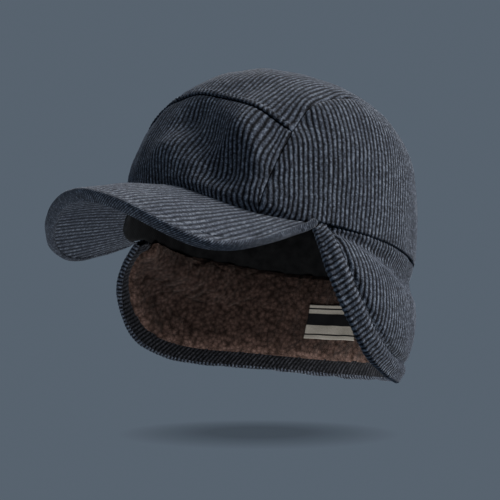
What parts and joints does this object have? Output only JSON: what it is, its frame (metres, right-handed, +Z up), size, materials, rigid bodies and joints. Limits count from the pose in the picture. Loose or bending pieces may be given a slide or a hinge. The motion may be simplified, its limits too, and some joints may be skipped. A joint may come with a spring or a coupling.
{
  "type": "corduroy hat",
  "caption": "Corduroy cap with a front panel, wide top strip and side panels, short padded brim, and a pile-lined flap round ears and neck.",
  "frame": {"origin": "centre of the head opening, at the height of the temples, where brim and flap both begin", "axes": "+Z up, -Y the way the wearer looks (the brim), +X the wearer's left"},
  "size_m": [0.216, 0.2485, 0.1911],
  "materials": {
    "corduroy": "slate blue wide-wale corduroy",
    "pile": "brown curly pile",
    "band": "black smooth band cloth",
    "label": "cream woven label"
  },
  "bodies": {
    "root": {"crown_front_panel": "corduroy", "crown_top_panel": "corduroy", "crown_side_left": "corduroy", "crown_side_right": "corduroy", "brim_upper": "corduroy", "brim_under": "corduroy", "flap_outer": "corduroy", "flap_hem": "corduroy", "flap_lining": "pile", "sweatband": "band", "label": "label"}
  },
  "joints": []
}
